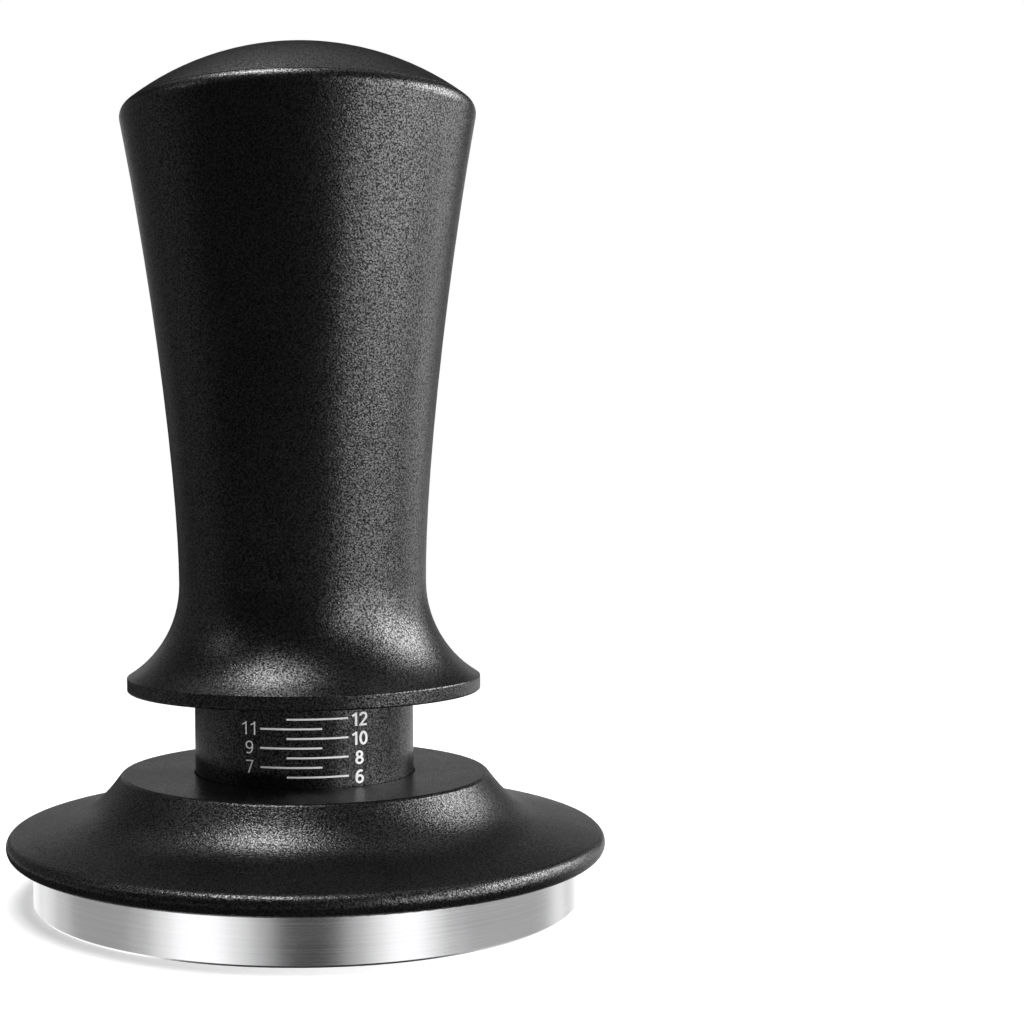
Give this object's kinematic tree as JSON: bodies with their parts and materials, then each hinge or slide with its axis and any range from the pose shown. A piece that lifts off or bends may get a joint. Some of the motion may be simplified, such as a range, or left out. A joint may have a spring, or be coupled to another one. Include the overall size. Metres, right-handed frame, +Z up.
{
  "type": "espresso tamper",
  "caption": "Spring-loaded espresso tamper: waisted domed handle on a graduated neck, sliding levelling collar and a round steel base with a rippled tamping face.",
  "frame": {"origin": "centre of the tamping face, on the plane of its flat rim", "axes": "+Z up along the tamper's centre line, from the tamping face to the domed handle; -Y is the side that carries the printed depth scale"},
  "size_m": [0.064, 0.064, 0.0913],
  "materials": {
    "turned_steel": "stainless steel, side turned and polished, tamping face turned in ripples",
    "handle_black": "black anodised over a fine bead-blasted grain, semi-gloss",
    "collar_black": "black anodised over a fine bead-blasted grain, semi-gloss",
    "neck_black": "smooth black anodised, finely turned",
    "shaft_steel": "turned steel",
    "spring_steel": "oiled spring steel wire",
    "plug_brass": "turned brass",
    "ring_steel": "phosphated spring steel",
    "guide_polymer": "natural acetal",
    "bumper_rubber": "matt black nitrile rubber",
    "rest_silicone": "matt dark silicone"
  },
  "bodies": {
    "base": {"ripple_base": "turned_steel", "neck_gasket": "bumper_rubber", "rest_ring": "rest_silicone", "scale_neck": "neck_black", "centre_shaft": "shaft_steel", "lower_spring_seat": "shaft_steel", "main_spring": "spring_steel", "stop_bumper": "bumper_rubber", "stop_washer": "shaft_steel", "stop_screw": "shaft_steel"},
    "spring_carriage": {"upper_spring_seat": "shaft_steel", "thrust_washer": "guide_polymer"},
    "handle": {"handle_shell": "handle_black", "handle_cap": "handle_black", "cap_seal": "bumper_rubber", "preload_plug": "plug_brass", "plug_lock_ring": "plug_brass", "handle_guide_bush": "guide_polymer", "guide_retaining_ring": "ring_steel"},
    "collar_slider": {"collar_bush": "guide_polymer", "collar_drag_ring": "bumper_rubber"},
    "collar": {"levelling_collar": "collar_black", "collar_retaining_ring": "ring_steel"}
  },
  "joints": [
    {"name": "handle_press", "type": "slide", "parent": "base", "child": "spring_carriage", "axis": [0, 0, -1], "range_m": [0, 0.0016], "stiffness_N_per_m": 11900, "springref_m": -0.0093, "deforming": ["main_spring"]},
    {"name": "handle_spin", "type": "hinge", "parent": "spring_carriage", "child": "handle", "pos_m": [0, 0, 0.05], "axis": [0, 0, 1], "continuous": true},
    {"name": "collar_slide", "type": "slide", "parent": "base", "child": "collar_slider", "axis": [0, 0, 1], "range_m": [0, 0.0071]},
    {"name": "collar_spin", "type": "hinge", "parent": "collar_slider", "child": "collar", "pos_m": [0, 0, 0.01], "axis": [0, 0, 1], "continuous": true}
  ]
}
